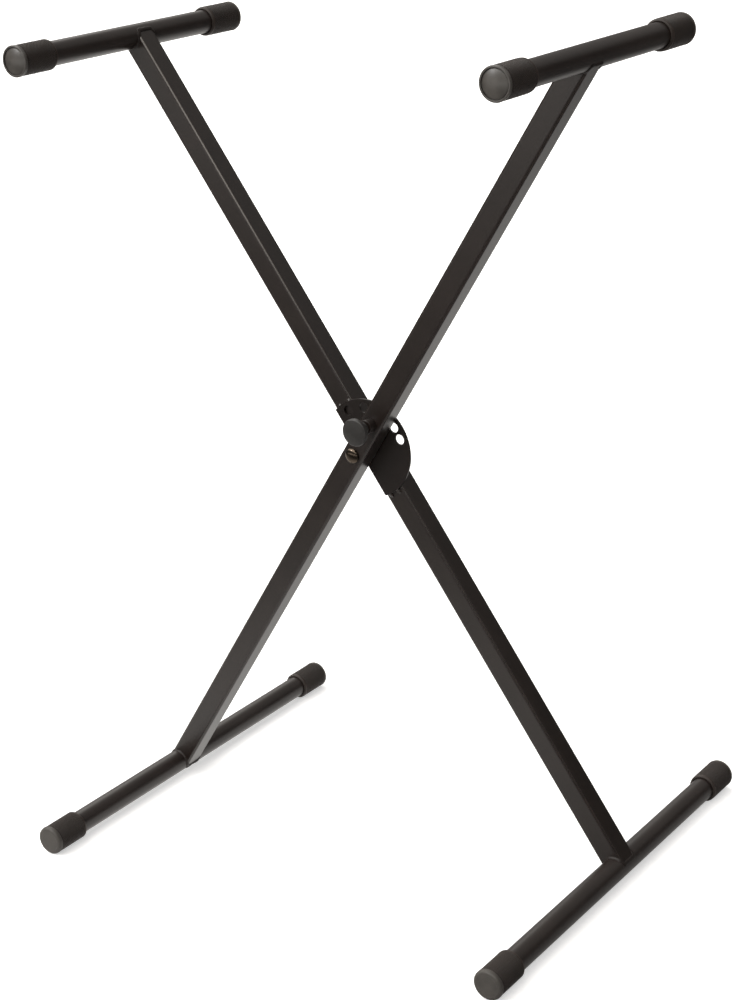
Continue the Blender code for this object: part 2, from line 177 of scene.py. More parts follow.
coatLook = {
    "colour": (0.0125, 0.0085, 0.0070),
    "gloss": 0.30,
    "cloud": 45,                                  # slow changes of tone
    "peel": 1.5,                                  # orange peel
    "grain": 0.4,
    "rub": 9,                                     # spots rubbed along a corner
    "depth": 0.07,
    "cornerBand": (2.2 * mm, 0.5 * mm),           # where a corner starts and is full, in from the flats
    "cornerGlintColour": (0.20, 0.185, 0.17, 1.0),             # painted highlight along a corner's rounded edge
    "cornerGlintFrom": (0.0, 0.40),                      # heights above the pivot between which the painted highlight grows
}


# level lightens or darkens the whole coat, as painted light or shade on pieces that catch more or less
# light, and mirror is how strongly it reflects.
def powderCoat(name, lean=0.0, edges=None, level=1.0, gloss=coatLook["gloss"], mirror=0.5):
    coat = bpy.data.materials.new(name)
    recipe = Recipe(coat)
    where = recipe.coords(lean, pivot)
    cloud = recipe.grain(where, coatLook["cloud"], 3)
    peel = recipe.grain(where, coatLook["peel"], 2, 0.45)
    fine = recipe.grain(where, coatLook["grain"], 2, 0.6)
    base = coatLook["colour"]
    tones = shade(base, 0.9 * level), shade(base, 1.12 * level)
    tone = recipe.blend(recipe.step(cloud, 0.3, 0.7), *tones)
    gloss = gloss + (cloud - 0.5) * 0.06 + (fine - 0.5) * 0.05
    if edges:                                     # half width, middle and painted corner highlight strength of a square tube
        half, middle, cornerGlint = edges
        starts, full = [half - inset for inset in coatLook["cornerBand"]]
        across, along, upward = recipe.parts(where)
        nearSide = recipe.step(recipe.maths("ABSOLUTE", across, 0), starts, full)
        nearFace = recipe.step(recipe.maths("ABSOLUTE", along - middle, 0), starts, full)
        corner = nearSide * nearFace
        rub = corner * recipe.step(recipe.grain(where, coatLook["rub"], 4), 0.42, 0.66)
        tone = recipe.blend(rub * 0.5, tone, shade(base, 2.2))
        # painted highlight along the corners, growing up the leg
        cornerGlintColour = corner * recipe.step(upward, *coatLook["cornerGlintFrom"], 0.0, cornerGlint)
        tone = recipe.blend(cornerGlintColour, tone, coatLook["cornerGlintColour"])
        gloss = gloss - corner * 0.12 - rub * 0.04
    height = peel * 0.75 + fine * 0.25
    recipe.surface(Base_Color=tone, Roughness=gloss, IOR=1.5, Specular_IOR_Level=mirror,
                   Normal=recipe.bump(height, coatLook["depth"]))
    return coat


rubberLook = {
    "colour": (0.0250, 0.0165, 0.0125),
    "end": (0.046, 0.041, 0.036),                 # the end face, smoother than the sleeve and coloured lighter than it: a lit copy of the same rubber, painted light
    "gloss": 0.42,
    "cloud": 14,
    "grain": 0.25,
    "dust": 2.2,
    "depth": 0.02,
}


def capRubber(name, base, gloss, speck=1.0, mirror=0.5):          # speck is how much dust and grain show
    rubber = bpy.data.materials.new(name)
    recipe = Recipe(rubber)
    where = recipe.coords()
    cloud = recipe.grain(where, rubberLook["cloud"], 4)
    fine = recipe.grain(where, rubberLook["grain"], 3, 0.6)
    dust = recipe.step(recipe.grain(where, rubberLook["dust"], 5, 0.7), 0.60, 0.78)
    colour = recipe.blend(recipe.step(cloud, 0.3, 0.7), shade(base, 0.85), shade(base, 1.15))
    colour = recipe.blend(dust * 0.16 * speck, colour, shade(base, 2.4))
    hollowShade = recipe.node("ShaderNodeAttribute", {"attribute_name": "hollowShade"}, {}).of("Fac")
    # painted shade in the cap's knurl valleys, groove and open lip
    colour = recipe.blend(hollowShade * 0.7, colour, shade(base, 0.25))
    rough = gloss + (cloud - 0.5) * 0.1 + dust * 0.08 + hollowShade * 0.15
    recipe.surface(Base_Color=colour, Roughness=rough, IOR=1.5, Specular_IOR_Level=mirror,
                   Normal=recipe.bump(fine, rubberLook["depth"] * speck))
    return rubber


metalLook = {
    "cloud": 4,
    "scratch": 1.6,
    "stretch": {"Scale": (1, 1, 14), "Rotation": (0.3, 0.5, 0.2)},    # scratches run one way, on a slant
    "grain": 0.3,
    "depth": 0.006,
}


def platedMetal(name, colour, gloss, scuff=0.05, lathe=0.0):      # lathe is the pitch of turning marks
    metal = bpy.data.materials.new(name)
    recipe = Recipe(metal)
    where = recipe.coords(legs["front"]["lean"], pivot)
    cloud = recipe.grain(where, metalLook["cloud"], 4)
    slanted = recipe.node("ShaderNodeMapping", {}, {"Vector": where, **metalLook["stretch"]})
    scratch = recipe.grain(slanted, metalLook["scratch"], 4, 0.65)
    colour = recipe.blend(recipe.step(cloud, 0.3, 0.75), shade(colour, 0.86), shade(colour, 1))
    rough = gloss + (cloud - 0.5) * 0.08 + recipe.step(scratch, 0.55, 0.75) * scuff
    height = scratch * 0.4 + recipe.grain(where, metalLook["grain"], 2) * 0.2
    if lathe:
        rings = {"W": recipe.parts(where)[1], "Scale": 1 / (lathe * mm), "Detail": 2.0}
        height = height + recipe.node("ShaderNodeTexNoise", {"noise_dimensions": "1D"}, rings) * 0.6
    bump = recipe.bump(height, metalLook["depth"])
    recipe.surface(Base_Color=colour, Metallic=1.0, Roughness=rough, Normal=bump)
    return metal


plasticCloud = 8


def mouldedPlastic(name, colour, gloss, texture, depth):
    plastic = bpy.data.materials.new(name)
    recipe = Recipe(plastic)
    where = recipe.coords(legs["front"]["lean"], pivot)
    cloud = recipe.grain(where, plasticCloud, 4)
    skin = recipe.grain(where, texture, 3, 0.55)
    colour = recipe.blend(recipe.step(cloud, 0.3, 0.75), shade(colour, 0.88), shade(colour, 1.08))
    rough = gloss + (cloud - 0.5) * 0.08 + (skin - 0.5) * 0.08
    recipe.surface(Base_Color=colour, Roughness=rough, IOR=1.46, Normal=recipe.bump(skin, depth))
    return plastic


legTube = {
    "width": 25.4 * mm,
    "wall": 1.5 * mm,
    "corner": 3.0 * mm,
    "cornerSteps": 8,
    "copeCuts": 17,                               # lines across each flat, for the coped ends
    "copeBand": 1.0 * mm,                         # an end's points lie this close to it
    "sleeveHole": 6.6 * mm,                       # radius
    "cornerGlint": {"front": 0.05, "rear": 0.8},         # strength of the painted highlight along the corners
}
coats = {}
for legName, leg in legs.items():
    tubeEdges = (legTube["width"] / 2, sum(leg["faces"]) / 2, legTube["cornerGlint"][legName])
    coats[legName] = powderCoat(f"{legName}LegCoat", leg["lean"], tubeEdges)
# the bars' coat painted lighter: painted light
barCoatLit = powderCoat("barCoatLit", level=1.15, gloss=0.38)
# the plate's coat painted darker: painted shade
plateCoatShaded = powderCoat("plateCoatShaded", legs["rear"]["lean"], level=0.75, mirror=0.36)
# the tacks' coat painted lighter: a painted highlight
tackCoatHighlit = powderCoat("tackCoatHighlit", legs["rear"]["lean"], level=1.3, gloss=0.16, mirror=0.7)
# the welds' coat painted darker: painted shade in the joints
weldCoatShaded = powderCoat("weldCoatShaded", level=0.9, gloss=0.46, mirror=0.3)
capFinish = {
    "top": (capRubber("topCapRubber", rubberLook["colour"], rubberLook["gloss"], 1.0, 0.36),
            capRubber("topCapEndLit", rubberLook["end"], 0.36, 0.6, 0.7)),
    "foot": (capRubber("footCapRubber", rubberLook["colour"], rubberLook["gloss"] + 0.08, 1.5, 0.42),
             capRubber("footCapEndLit", rubberLook["end"], 0.58, 1.5)),
}
darkNickel = platedMetal("darkNickel", (0.10, 0.078, 0.060), 0.17)
zincSteel = platedMetal("zincSteel", (0.50, 0.50, 0.51), 0.3, 0.1, 0.5)
darkNylon = mouldedPlastic("darkNylon", (0.022, 0.021, 0.020), 0.42, 0.6, 0.01)
knobPlastic = mouldedPlastic("knobPlastic", (0.020, 0.0185, 0.0175), 0.38, 0.45, 0.02)
print("finishes made")


# Shaping

mergeReach = 1e-6                                 # points closer than this become one


def turned(corners, sides, closed=False):         # corners are radius, place along Y and rounding
    shape = bmesh.new()
    line = [shape.verts.new((corner[0], corner[1], 0)) for corner in corners]
    for start, end in zip(line, line[1:] + line[:1] if closed else line[1:]):
        shape.edges.new((start, end))
    bmesh.ops.spin(shape, geom=shape.verts[:] + shape.edges[:], cent=(0, 0, 0), axis=(0, 1, 0),
                   angle=2 * pi, steps=sides, use_merge=True)
    bmesh.ops.remove_doubles(shape, verts=shape.verts, dist=mergeReach)
    for radius, along, rounding in corners:
        if rounding:
            roundOff(shape, onRing(shape, radius, along), rounding)
    return shape


def onRing(shape, radius, along, centre=(0, 0), reach=1e-5):      # edges of a circle round Y
    def near(vert):
        away = hypot(vert.co.x - centre[0], vert.co.z - centre[1])
        return abs(away - radius) < reach and abs(vert.co.y - along) < reach
    return [edge for edge in shape.edges if near(edge.verts[0]) and near(edge.verts[1])]


def roundOff(shape, edges, width, segments=3):
    bmesh.ops.bevel(shape, geom=edges, offset=width, offset_type="OFFSET", segments=segments,
                    profile=0.5, affect="EDGES", material=-1, clamp_overlap=True)


def asObject(shape, name):
    mesh = bpy.data.meshes.new(name)
    shape.to_mesh(mesh)
    shape.free()
    thing = bpy.data.objects.new(name, mesh)
    bpy.context.scene.collection.objects.link(thing)
    return thing


def carved(shape, *steps):                        # each step is a boolean operation and its tool's shape
    body = asObject(shape, "body")
    used = [body]
    for operation, tool in steps:
        carve = body.modifiers.new("carve", "BOOLEAN")
        carve.operation = operation
        carve.solver = "EXACT"
        carve.object = asObject(tool, "tool")
        used.append(carve.object)
    bpy.context.view_layer.update()
    result = bmesh.new()
    result.from_object(body, bpy.context.evaluated_depsgraph_get())
    for thing in used:
        bpy.data.objects.remove(thing)
    return result


drillBit = {"reach": 0.1, "sides": 64}


def barAlongY(radius, start, end, sides, x=0, z=0):               # a plain bar, such as a drill's bit
    bar = bmesh.new()
    place = Matrix.Translation((x, (start + end) / 2, z)) @ Matrix.Rotation(pi / 2, 4, "X")
    bmesh.ops.create_cone(bar, cap_ends=True, segments=sides, radius1=radius, radius2=radius,
                          depth=end - start, matrix=place)
    return bar


def drilled(radius, x=0, z=0):                    # the step that drills a hole through along Y
    reach = drillBit["reach"]
    return ("DIFFERENCE", barAlongY(radius, -reach, reach, drillBit["sides"], x, z))


# Edges over sharp degrees stay sharp. A piece without stands is extra, and replaces no node.
def finished(shape, name, body, finish, place, stands=(), sharp=38, others=()):
    bmesh.ops.transform(shape, matrix=place, verts=shape.verts)
    bmesh.ops.remove_doubles(shape, verts=shape.verts, dist=mergeReach)
    bmesh.ops.recalc_face_normals(shape, faces=shape.faces)
    piece = asObject(shape, name)
    piece.data.shade_smooth()
    piece.data.set_sharp_from_angle(angle=radians(sharp))
    for material in [finish, *others]:
        piece.data.materials.append(material)
    level = piece.modifiers.new("level", "WEIGHTED_NORMAL")       # broad faces shade as flat
    level.keep_sharp = True
    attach(piece, body)
    if stands:
        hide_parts(*stands)
    return piece


# Legs

def makeLeg(legName):
    leg = legs[legName]
    near, far = leg["faces"]
    top = leg["reach"]["top"]
    foot = leg["reach"]["foot"]
    width = legTube["width"]
    shape = bmesh.new()
    middle = Matrix.Translation((0, (near + far) / 2, (top - foot) / 2))
    size = Matrix.Diagonal((width, far - near, top + foot, 1))
    bmesh.ops.create_cube(shape, size=1, matrix=middle @ size)
    tall = [edge for edge in shape.edges if abs(edge.verts[0].co.z - edge.verts[1].co.z) > foot]
    roundOff(shape, tall, legTube["corner"], legTube["cornerSteps"])
    ends = [face for face in shape.faces if abs(face.normal.z) > 0.9]
    bmesh.ops.delete(shape, geom=ends, context="FACES_ONLY")
    flat = width - 2 * legTube["corner"]
    for cut in range(legTube["copeCuts"]):
        x = flat * ((cut + 1) / (legTube["copeCuts"] + 1) - 0.5)
        bmesh.ops.bisect_plane(shape, geom=shape.verts[:] + shape.edges[:] + shape.faces[:], dist=1e-7,
                               plane_co=(x, 0, 0), plane_no=(1, 0, 0))
    bmesh.ops.recalc_face_normals(shape, faces=shape.faces)
    bmesh.ops.solidify(shape, geom=shape.faces[:], thickness=legTube["wall"])
    saddle = barTube["radius"] + seatGap
    for vert in shape.verts:
        drop = sqrt(max(saddle ** 2 - vert.co.x ** 2, 0))
        if vert.co.z > top - legTube["copeBand"]:
            vert.co.z = top - drop
        elif vert.co.z < legTube["copeBand"] - foot:
            vert.co.z = drop - foot
    holes = [drilled(legTube["sleeveHole"])]
    if legName == "front":
        holes.append(drilled(barrel["radius"] + seatGap, 0, lockReach))
    finished(carved(shape, *holes), f"{legName}LegTube", leg["body"], coats[legName],
             leg["place"], [f"{legName}_leg_tube"])


# Bars

barTube = {"radius": 12.7 * mm, "wall": 1.5 * mm, "edge": 0.3 * mm, "sides": 96}


def endPlace(legName, end):                       # leg space at a bar's axis, with +z away from the leg
    leg = legs[legName]
    sign, turn = (1, 0) if end == "top" else (-1, pi)
    axis = leg["place"] @ Matrix.Translation((0, 0, sign * leg["reach"][end]))
    return axis @ Matrix.Rotation(turn, 4, "Y")


def makeBar(legName, end):
    node = f"{legName}_{end}_bar"
    near, far = [corner.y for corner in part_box(node)]
    outer = barTube["radius"]
    inner = outer - barTube["wall"]
    edge = barTube["edge"]
    corners = [(inner, near, 0), (outer, near, edge), (outer, far, edge), (inner, far, 0)]
    finished(turned(corners, barTube["sides"], True), f"{legName}{end.title()}Bar",
             legs[legName]["body"], barCoatLit, endPlace(legName, end), [node])


# End caps

cap = {
    "radius": 16.16 * mm,
    "bore": 13.0 * mm,
    "endWall": 4.0 * mm,
    "lip": 1.6 * mm,                              # how far in the open end gets painted shade
    "lipShade": 0.6,                              # strength of that painted shade, out of 1
    "diamonds": 46,                               # round the sleeve
    "rowPitch": 2.05 * mm,                        # along it
    "knurlDepth": 0.62 * mm,
    "knurlTop": 0.26 * mm,                        # size of the flat on each diamond
    "knurlStart": 3.4 * mm,                       # from the open lip
    "knurlEnd": 6.3 * mm,                         # from the end face
    "disc": 13.2 * mm,                            # radius of the domed disc
    "discRise": 2.4 * mm,
    "discProud": 1.2 * mm,                        # the dome's top, past the ring
    "discSteps": 16,
    "groove": 0.85 * mm,                          # width between the disc and the ring
    "grooveDepth": 1.7 * mm,
    "endFrom": {"top": 4.6 * mm, "foot": 5.3 * mm},       # how deep the end's own finish reaches
}


def capFace(face, domed):                         # radius, place and rounding, from knurl to middle
    radius = cap["radius"]
    if domed:                                     # rounded ring, thin groove, domed disc
        disc = cap["disc"]
        rise = cap["discRise"]
        ring = face - cap["discProud"]
        edge = disc + cap["groove"]
        shares = [1 - step / cap["discSteps"] for step in range(1, cap["discSteps"] + 1)]
        dome = [(disc * share, face - rise * share ** 2, 0) for share in shares]
        return [
            (radius - 0.6 * mm, ring - 3.6 * mm, 0.15 * mm),
            (radius - 0.1 * mm, ring - 3.3 * mm, 0.2 * mm),
            (radius - 0.1 * mm, ring - 2.6 * mm, 0.2 * mm),
            (radius - 0.7 * mm, ring - 2.4 * mm, 0.1 * mm),
            (radius - 0.7 * mm, ring - 2.1 * mm, 0.1 * mm),
            (radius - 0.02 * mm, ring - 1.9 * mm, 0.3 * mm),
            (radius - 0.02 * mm, ring, 1.2 * mm),
            (edge, ring, 0.45 * mm),
            (edge - 0.15 * mm, ring - cap["grooveDepth"], 0.1 * mm),
            (disc + 0.1 * mm, ring - cap["grooveDepth"], 0.1 * mm),
            (disc, face - rise, 0.25 * mm),
        ] + dome
    return [                                      # plain rounded end, with a faint ring
        (radius - 0.05 * mm, face - 5.2 * mm, 0),
        (radius - 0.05 * mm, face - 0.3 * mm, 3.2 * mm),
        (12.0 * mm, face - 0.15 * mm, 0.4 * mm),
        (11.4 * mm, face - 0.35 * mm, 0.2 * mm),
        (10.8 * mm, face - 0.2 * mm, 0.4 * mm),
        (6.0 * mm, face - 0.05 * mm, 0),
        (0, face, 0),
    ]


def makeCap(legName, end, side):
    node = f"{legName}_{end}_cap_{side}"
    low, high = [corner.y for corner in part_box(node)]
    length = high - low
    columns = 2 * cap["diamonds"]
    start = cap["knurlStart"]
    lines = 2 * round((length - cap["knurlEnd"] - start) / cap["rowPitch"])
    pitch = (length - cap["knurlEnd"] - start) / lines
    radius = cap["radius"]
    knurl = [(radius, start + line * pitch, 0) for line in range(lines + 1)]
    corners = [
        (0, length - cap["endWall"], 0),
        (cap["bore"], length - cap["endWall"], 0),
        (cap["bore"], 0.6 * mm, 0),
        (cap["bore"] + 0.3 * mm, 0, 0.15 * mm),
        (radius - 1.9 * mm, 0, 0.5 * mm),
        (radius - 0.35 * mm, 1.5 * mm, 0.5 * mm),
        (radius - 0.3 * mm, start - 0.4 * mm, 0),
    ] + knurl + capFace(length, end == "top")
    shape = turned(corners, columns)
    discEdge = cap["disc"] + cap["groove"]
    grooveFloor = length - cap["discProud"] - cap["grooveDepth"] + 0.3 * mm
    hollowShade = shape.verts.layers.float.new("hollowShade")               # 1 where little light gets in: painted shade in the knurl's valleys, the groove and the open lip
    valleys = []
    peaks = []
    for vert in shape.verts:
        line = (vert.co.y - start) / pitch
        away = hypot(vert.co.x, vert.co.z)
        # painted shade at the open lip and in the top caps' groove
        if vert.co.y < cap["lip"]:
            vert[hollowShade] = cap["lipShade"]
        elif end == "top" and cap["disc"] < away < discEdge and vert.co.y < grooveFloor:
            vert[hollowShade] = 1.0
        if away > radius - 1e-5 and -0.01 < line < lines + 0.01:
            column = round(atan2(vert.co.z, vert.co.x) * columns / (2 * pi))
            edge = round(line) in (0, lines)
            if (column + round(line)) % 2 or edge:
                valleys.append(vert)
            else:
                peaks.append(vert)
    bmesh.ops.connect_verts(shape, verts=valleys)
    # painted shade down in each valley of the knurl
    for vert in valleys:
        vert[hollowShade] = 1.0
        shrink = 1 - cap["knurlDepth"] / radius
        vert.co.x *= shrink
        vert.co.z *= shrink
    bmesh.ops.bevel(shape, geom=peaks, offset=cap["knurlTop"], offset_type="OFFSET", segments=1,
                    profile=0.5, affect="VERTICES", material=-1)
    for face in shape.faces:
        face.material_index = int(min(vert.co.y for vert in face.verts) > length - cap["endFrom"][end])
    turn = Matrix.Identity(4) if side == "far" else Matrix.Rotation(pi, 4, "Z")
    lip = low if side == "far" else high
    place = endPlace(legName, end) @ Matrix.Translation((0, lip, 0)) @ turn
    sleeve, endFace = capFinish[end]
    finished(shape, f"{legName}{end.title()}Cap{side.title()}", legs[legName]["body"],
             sleeve, place, [node], sharp=24, others=[endFace])


# Weld beads, laid in leg space

bead = {
    "halfWidth": 2.3 * mm,
    "height": 1.15 * mm,
    "ripple": (0.09, 2.1 * mm),                   # share of the size, and pitch
    "wander": (0.22, 6.0 * mm),
    "endSteps": 5,                                # how soon an open bead's end is full
    "sides": 12,
}


# path is the bead's places, each with its way out. An open bead has rounded ends.
def weld(path, name, legName, finish, seed, size=1.0, closed=True):
    count = len(path)
    frames = []
    run = 0
    for index, (spot, out) in enumerate(path):
        before = path[index - 1][0] if closed or index else spot
        after = path[(index + 1) % count][0] if closed or index < count - 1 else spot
        ahead = (after - before).normalized()
        out = (out - ahead * out.dot(ahead)).normalized()
        run += (spot - before).length if index else 0
        ripple, pitch = bead["ripple"]
        wander, length = bead["wander"]
        drift = noise.noise(Vector((run / length, seed, 0.5)))
        swell = size * (1 + (ripple * sin(2 * pi * run / pitch) + wander * drift))
        if not closed:
            left = min(index, count - 1 - index) / bead["endSteps"]
            swell *= sqrt(max(1 - (1 - min(left, 1)) ** 2, 0.02))
        side = ahead.cross(out) * bead["halfWidth"] * swell
        up = out * bead["height"] * swell
        frames.append(Matrix((
            (side.x, up.x, ahead.x, spot.x),
            (side.y, up.y, ahead.y, spot.y),
            (side.z, up.z, ahead.z, spot.z),
            (0, 0, 0, 1),
        )))
    if closed:
        frames.append(frames[0])
    shape = bmesh.new()
    bmesh.ops.create_circle(shape, cap_ends=False, radius=1, segments=bead["sides"], matrix=frames[0])
    edges = shape.edges[:]
    for old, new in zip(frames, frames[1:]):
        grown = bmesh.ops.extrude_edge_only(shape, edges=edges)["geom"]
        ring = [item for item in grown if isinstance(item, bmesh.types.BMVert)]
        lines = [item for item in grown if isinstance(item, bmesh.types.BMEdge)]
        edges = [line for line in lines if line.verts[0] in ring and line.verts[1] in ring]
        bmesh.ops.transform(shape, matrix=new @ old.inverted(), verts=ring)
    if not closed:
        bmesh.ops.holes_fill(shape, edges=shape.edges, sides=0)
    leg = legs[legName]
    finished(shape, name, leg["body"], finish, leg["place"], sharp=60)


weldStep = 0.7 * mm                               # between the places of a leg-end weld


def legEndWeld(legName, end):                     # round the coped end, in the corner with the bar
    leg = legs[legName]
    near, far = leg["faces"]
    half = legTube["width"] / 2
    corner = legTube["corner"]
    radius = barTube["radius"]
    outline = bmesh.new()                         # a rounded square, walked in even steps
    bmesh.ops.create_grid(outline, x_segments=1, y_segments=1, size=half)
    bmesh.ops.bevel(outline, geom=outline.verts[:], offset=corner, offset_type="OFFSET", segments=6,
                    profile=0.5, affect="VERTICES", material=-1)
    outline.faces.ensure_lookup_table()
    loop = [vert.co.copy() for vert in outline.faces[0].verts]
    outline.free()
    steps = []
    for start, after in zip(loop, loop[1:] + loop[:1]):
        count = max(1, round((after - start).length / weldStep))
        steps += [start.lerp(after, share / count) for share in range(count)]
    sign = 1 if end == "top" else -1
    path = []
    for point in steps:
        depth = sqrt(max(radius ** 2 - point.x ** 2, 0))
        core = Vector([max(abs(part) - half + corner, 0) * (1 if part > 0 else -1) for part in point])
        core.z = 0
        spot = Vector((point.x, point.y + (near + far) / 2, sign * (leg["reach"][end] - depth)))
        out = core.normalized() + Vector((point.x, 0, -sign * depth)) / radius
        path.append((spot, out.normalized()))
    seed = len(path) + 3 * sign + (7 if legName == "rear" else 0)             # no two wander alike
    weld(path, f"{legName}{end.title()}Weld", legName, weldCoatShaded, seed)


tack = {
    "length": 4.4 * mm,
    "steps": 14,
    "sunk": 0.2 * mm,
    "beads": [                                    # angle, way out from the plate's rim and size
        (-5.6, 0.3 * mm, 1.0),
        (9.0, 0.3 * mm, 1.0),
        (174.3, 2.4 * mm, 1.55),
        (186.0, 2.4 * mm, 1.55),
    ],
}


def plateTacks():                                 # four short beads between the plate's rim and the leg
    face = legs["rear"]["faces"][0]
    for number, (angle, out, size) in enumerate(tack["beads"]):
        reach = plate["radius"] + out
        path = []
        for step in range(tack["steps"] + 1):
            turn = radians(angle) + (step / tack["steps"] - 0.5) * tack["length"] / reach
            radial = Vector((sin(turn), 0, cos(turn)))
            spot = radial * reach + Vector((0, face - tack["sunk"], 0))
            path.append((spot, radial * 0.5 + Vector((0, -1, 0))))
        weld(path, f"plateTack{number + 1}", "rear", tackCoatHighlit, 3.7 * number, size, False)


# Lock plate

plate = {
    "radius": 54.0 * mm,
    "chord": 11.6 * mm,                           # from the pivot to the straight side
    "sides": 240,
    "hole": 5.6 * mm,
    "holeEdge": 0.15 * mm,
    "holeReach": 4e-5,                            # how far a hole's points may lie off its circle
    "edge": 0.3 * mm,
    "settings": (-2, -1, 0, 1, 2),
    "settingStep": 18,                            # degrees between two settings
    "folded": 4.2,                                # degrees between the legs when folded
}
boltHole = 4.3 * mm
openAngle = legs["front"]["lean"] - legs["rear"]["lean"]
lockAngles = [openAngle + radians(plate["settingStep"] * setting) for setting in plate["settings"]]
lockAngles.append(radians(plate["folded"]))


def makePlate():
    front, back = [corner.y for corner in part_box("lock_plate")]
    shape = bmesh.new()
    bmesh.ops.create_circle(shape, cap_ends=True, radius=plate["radius"], segments=plate["sides"],
                            matrix=Matrix.Translation((0, back, 0)) @ Matrix.Rotation(pi / 2, 4, "X"))
    bmesh.ops.bisect_plane(shape, geom=shape.verts[:] + shape.edges[:] + shape.faces[:], dist=1e-7,
                           plane_co=(-plate["chord"], 0, 0), plane_no=(-1, 0, 0), clear_outer=True)
    grown = bmesh.ops.extrude_face_region(shape, geom=shape.faces[:], use_keep_orig=True)["geom"]
    raised = [item for item in grown if isinstance(item, bmesh.types.BMVert)]
    bmesh.ops.translate(shape, verts=raised, vec=(0, front - back, 0))
    bmesh.ops.recalc_face_normals(shape, faces=shape.faces)
    rims = [edge for edge in shape.edges if abs(edge.verts[0].co.y - edge.verts[1].co.y) < 1e-6]
    roundOff(shape, rims, plate["edge"])
    centres = [(lockReach * sin(angle), lockReach * cos(angle), plate["hole"]) for angle in lockAngles]
    centres.append((0, 0, boltHole))
    shape = carved(shape, *[drilled(radius, x, z) for x, z, radius in centres])
    for x, z, radius in centres:
        for side in (front, back):
            rim = onRing(shape, radius, side, (x, z), plate["holeReach"])
            roundOff(shape, rim, plate["holeEdge"], 2)
    finished(shape, "lockPlate", "rear_leg", plateCoatShaded, pivotPlace, ["lock_plate"])


# Pivot: dome bolt, washers and lock nut

bolt = {
    "shank": 4.0 * mm,
    "head": 8.2 * mm,
    "land": 0.8 * mm,                             # the head's straight edge, under its dome
    "domeSteps": 14,
    "threadStart": 0.5 * mm,                      # from the bolt's end
    "threadEnd": 6.2 * mm,
    "halfPitch": 0.62 * mm,
    "threadTurns": 9,                             # crests and roots, up into the nut
    "threadDepths": (0.05 * mm, 0.5 * mm),
    "endChamfer": 0.6 * mm,
    "sides": 72,
}
washer = {"edge": 0.1 * mm, "sides": 80}
nut = {
    "flats": 13.0 * mm,
    "chamfer": 0.8 * mm,                          # height of the bevel on the hexagon's corners
    "chamferFrom": 0.88,                          # shares of the corner radius
    "chamferTo": 1.02,
    "collar": 5.8 * mm,
    "collarHeight": 2.6 * mm,
    "mouth": 5.0 * mm,
    "bore": 4.25 * mm,
    "sides": 72,
}


def makeBolt():
    front, back = [corner.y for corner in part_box("pivot_bolt")]
    seat = legs["front"]["faces"][0] - seatGap
    shank = bolt["shank"]
    head = bolt["head"]
    land = seat - bolt["land"]
    corners = [(0, back, 0), (shank - bolt["endChamfer"], back, 0.1 * mm)]
    for turn in range(bolt["threadTurns"]):
        along = back - bolt["threadStart"] - turn * bolt["halfPitch"]
        corners.append((shank - bolt["threadDepths"][turn % 2], along, 0))
    corners += [(shank, back - bolt["threadEnd"], 0), (shank, seat, 0), (head, seat, 0.15 * mm)]
    for step in range(bolt["domeSteps"]):
        angle = step * pi / 2 / bolt["domeSteps"]
        corners.append((head * cos(angle), land - (land - front) * sin(angle), 0))
    corners.append((0, front, 0))
    finished(turned(corners, bolt["sides"]), "pivotBolt", "rear_leg", darkNickel,
             pivotPlace, ["pivot_bolt"])


def makeWasher(node, name, outer, finish, rounding):
    near, far = [corner.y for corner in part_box(node)]
    edge = washer["edge"]
    corners = [
        (boltHole, near, edge),
        (outer, near, rounding),
        (outer, far, rounding),
        (boltHole, far, edge),
    ]
    finished(turned(corners, washer["sides"], True), name, "rear_leg", finish, pivotPlace, [node])


def makeNut():
    near, far = [corner.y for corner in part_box("pivot_lock_nut")]
    shoulder = far - nut["collarHeight"]
    radius = nut["flats"] / 2 / cos(pi / 6)
    small = radius * nut["chamferFrom"]
    large = radius * nut["chamferTo"]
    chamfers = turned([
        (0, near, 0),
        (small, near, 0),
        (large, near + nut["chamfer"], 0),
        (large, shoulder - nut["chamfer"], 0),
        (small, shoulder, 0),
        (0, shoulder, 0),
    ], nut["sides"])
    collar = turned([
        (0, shoulder - 1.0 * mm, 0),
        (nut["collar"], shoulder - 1.0 * mm, 0),
        (nut["collar"], far - 0.1 * mm, 0.7 * mm),
        (nut["mouth"], far, 0.2 * mm),
        (0, far, 0),
    ], nut["sides"])
    shape = carved(barAlongY(radius, near, shoulder, 6), ("INTERSECT", chamfers), ("UNION", collar),
                   drilled(nut["bore"]))
    finished(shape, "lockNut", "rear_leg", zincSteel, pivotPlace, ["pivot_lock_nut"])
    insert = turned([
        (4.02 * mm, far - 2.0 * mm, 0),
        (4.24 * mm, far - 2.0 * mm, 0),
        (4.9 * mm, far - 0.02 * mm, 0.1 * mm),
        (4.3 * mm, far - 0.02 * mm, 0.15 * mm),
        (4.02 * mm, far - 0.4 * mm, 0),
    ], nut["sides"], True)
    finished(insert, "nutInsert", "rear_leg", darkNylon, pivotPlace)


# Lock: barrel, pin and pull knob

barrel = {"radius": 7.5 * mm, "bore": 5.6 * mm, "frontWall": 3.0 * mm, "edge": 0.4 * mm, "sides": 80}
pin = {"nose": 5.3 * mm, "noseChamfer": 1.0 * mm, "rod": 3.0 * mm, "sides": 64}
rodBore = pin["rod"] + boreGap
knob = {
    "neck": 6.5 * mm,
    "neckLength": 6.0 * mm,
    "radius": 14.7 * mm,
    "flare": 7.5 * mm,
    "rim": 3.6 * mm,
    "rimRound": 1.7 * mm,
    "steps": 12,                                  # in the flare, and in the dome
    "sides": 96,
}


